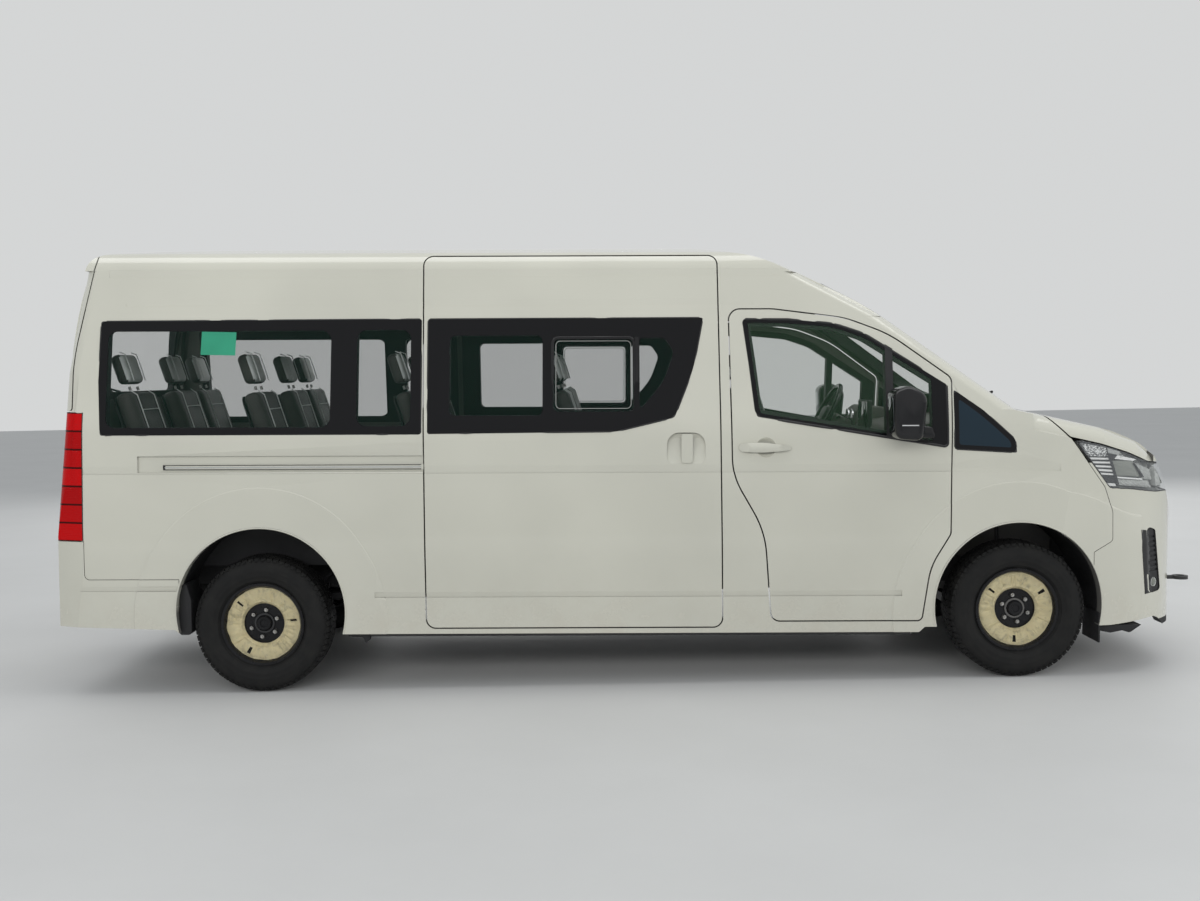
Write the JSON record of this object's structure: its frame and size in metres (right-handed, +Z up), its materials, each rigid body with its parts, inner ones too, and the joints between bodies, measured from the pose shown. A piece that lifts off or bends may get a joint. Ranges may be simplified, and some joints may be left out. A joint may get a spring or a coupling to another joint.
{
  "type": "minibus",
  "caption": "Long high-roof minibus with a bonnet nose, side sliding door, rows of reclined seats, tailgate, ladder frame and steered front wheels.",
  "frame": {"origin": "on the ground, at mid-length and mid-width", "axes": "+X forward along the vehicle, +Y to its left, +Z up"},
  "size_m": [5.9577, 2.41, 2.2948],
  "materials": {
    "white_paint": "gloss",
    "window_glass": "tinted",
    "lamp_lens": "clear",
    "tail_lens": "gloss",
    "black_plastic": "satin",
    "cabin_trim": "matte",
    "dark_leather": "satin",
    "chassis_black": "satin",
    "cast_metal": "rough",
    "exhaust_steel": "satin",
    "bright_steel": "polished",
    "rim_steel": "satin",
    "tyre_rubber": "matte"
  },
  "bodies": {
    "body_shell": {"side_panel_right": "white_paint", "side_panel_left": "white_paint", "roof_panel": "white_paint", "floor_pan": "cabin_trim", "bulkhead": "cabin_trim", "scuttle": "black_plastic", "windscreen": "window_glass", "side_glass": "window_glass", "sliding_door": "white_paint", "sliding_door_glass": "window_glass", "slide_rail": "black_plastic", "front_bumper": "white_paint", "rear_bumper": "white_paint", "grille": "black_plastic", "headlamps": "lamp_lens", "tail_lamps": "tail_lens", "wheelhouses": "black_plastic", "dashboard": "cabin_trim", "seat_frames": "chassis_black", "seat_cushions": "dark_leather", "seat_backs": "dark_leather", "headrests": "dark_leather", "headrest_posts": "bright_steel", "sliding_door_handle": "white_paint", "ladder_frame": "chassis_black", "rear_axle": "chassis_black", "suspension": "chassis_black", "engine_block": "cast_metal", "propshaft": "chassis_black", "exhaust": "exhaust_steel", "fuel_tank": "chassis_black", "spare_wheel": "tyre_rubber", "tow_eye": "chassis_black", "antenna_fin": "black_plastic"},
    "front_door_left_leaf": {"front_door_left": "white_paint", "door_glass_left": "window_glass", "mirror_left": "black_plastic", "door_handle_left": "white_paint"},
    "front_door_right_leaf": {"front_door_right": "white_paint", "door_glass_right": "window_glass", "mirror_right": "black_plastic", "door_handle_right": "white_paint"},
    "tailgate_leaf": {"tailgate": "white_paint", "tailgate_glass": "window_glass"},
    "bonnet_lid": {"bonnet": "white_paint"},
    "hand_wheel": {"steering_wheel": "black_plastic"},
    "left_knuckle": {"knuckle_left": "cast_metal"},
    "right_knuckle": {"knuckle_right": "cast_metal"},
    "wheel_front_left": {"rim_front_left": "rim_steel", "tyre_front_left": "tyre_rubber"},
    "wheel_front_right": {"rim_front_right": "rim_steel", "tyre_front_right": "tyre_rubber"},
    "wheel_rear_left": {"rim_rear_left": "rim_steel", "tyre_rear_left": "tyre_rubber"},
    "wheel_rear_right": {"rim_rear_right": "rim_steel", "tyre_rear_right": "tyre_rubber"}
  },
  "joints": [
    {"name": "front_door_left_hinge", "type": "hinge", "parent": "body_shell", "child": "front_door_left_leaf", "pos_m": [1.6204, 0.9775, 0.87382], "axis": [-0.0162, 0, -0.9999], "range_deg": [0, 68]},
    {"name": "front_door_right_hinge", "type": "hinge", "parent": "body_shell", "child": "front_door_right_leaf", "pos_m": [1.6204, -0.9775, 0.87382], "axis": [0.0162, 0, 0.9999], "range_deg": [0, 68]},
    {"name": "tailgate_hinge", "type": "hinge", "parent": "body_shell", "child": "tailgate_leaf", "pos_m": [-2.71167, 0, 2.26031], "axis": [0, 1, 0], "range_deg": [0, 84]},
    {"name": "bonnet_hinge", "type": "hinge", "parent": "body_shell", "child": "bonnet_lid", "pos_m": [2.09953, 0, 1.3711], "axis": [0, -1, 0], "range_deg": [0, 48]},
    {"name": "steer_left", "type": "hinge", "parent": "body_shell", "child": "left_knuckle", "pos_m": [1.95339, 0.7575, 0.347], "axis": [0.0162, 0, 0.9999], "range_deg": [-32, 32]},
    {"name": "steer_right", "type": "hinge", "parent": "body_shell", "child": "right_knuckle", "pos_m": [1.95339, -0.7575, 0.347], "axis": [0.0162, 0, 0.9999], "range_deg": [-32, 32]},
    {"name": "hand_wheel_turn", "type": "hinge", "parent": "body_shell", "child": "hand_wheel", "pos_m": [1.21159, 0.45, 1.32051], "axis": [-0.8752, 0, 0.4837], "range_deg": [-512, 512]},
    {"name": "spin_front_left", "type": "hinge", "parent": "left_knuckle", "child": "wheel_front_left", "pos_m": [1.95339, 0.8375, 0.347], "axis": [0, 1, 0], "continuous": true},
    {"name": "spin_front_right", "type": "hinge", "parent": "right_knuckle", "child": "wheel_front_right", "pos_m": [1.95339, -0.8375, 0.347], "axis": [0, 1, 0], "continuous": true},
    {"name": "spin_rear_left", "type": "hinge", "parent": "body_shell", "child": "wheel_rear_left", "pos_m": [-1.90712, 0.8375, 0.347], "axis": [0, 1, 0], "continuous": true},
    {"name": "spin_rear_right", "type": "hinge", "parent": "body_shell", "child": "wheel_rear_right", "pos_m": [-1.90712, -0.8375, 0.347], "axis": [0, 1, 0], "continuous": true}
  ],
  "couplings": [
    {"joint": "steer_right", "follows": "steer_left", "ratio": 1},
    {"joint": "hand_wheel_turn", "follows": "steer_left", "ratio": 16}
  ]
}
